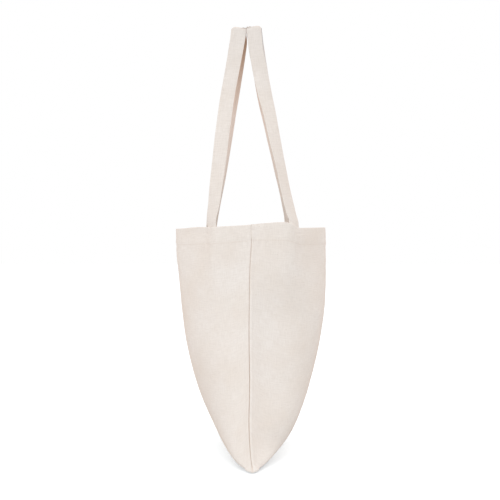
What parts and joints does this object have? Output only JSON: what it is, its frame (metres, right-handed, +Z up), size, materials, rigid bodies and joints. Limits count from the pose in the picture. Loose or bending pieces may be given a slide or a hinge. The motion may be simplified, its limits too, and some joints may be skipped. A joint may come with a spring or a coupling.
{
  "type": "tote bag",
  "caption": "Open cotton tote bag with a folded bottom, sewn sides and long flat handles, hanging by its handles.",
  "frame": {"origin": "the point under the middle of both handles' tops where a rail or hook carries the bag", "axes": "+Z up, X from side seam to side seam, the front panel faces -Y"},
  "size_m": [0.378, 0.2785, 0.768],
  "materials": {
    "cotton_canvas": "matte plain weave, undyed",
    "cotton_strap": "matte plain weave, undyed"
  },
  "bodies": {
    "bag": {"body": "cotton_canvas", "front_handle_foot_right": "cotton_strap", "front_handle_foot_left": "cotton_strap", "back_handle_foot_right": "cotton_strap", "back_handle_foot_left": "cotton_strap", "front_handle_root_right": "cotton_strap", "front_handle_root_left": "cotton_strap", "back_handle_root_right": "cotton_strap", "back_handle_root_left": "cotton_strap"},
    "front_handle": {"front_handle_loop": "cotton_strap"},
    "back_handle": {"back_handle_loop": "cotton_strap"}
  },
  "joints": [
    {"name": "front_handle_swing", "type": "hinge", "parent": "bag", "child": "front_handle", "pos_m": [0, -0.06, -0.3335], "axis": [1, 0, 0], "range_deg": [0, 135], "deforming": ["front_handle_root_right", "front_handle_root_left"]},
    {"name": "back_handle_swing", "type": "hinge", "parent": "bag", "child": "back_handle", "pos_m": [0, 0.0714, -0.3335], "axis": [-1, 0, 0], "range_deg": [0, 135], "deforming": ["back_handle_root_right", "back_handle_root_left"]}
  ]
}
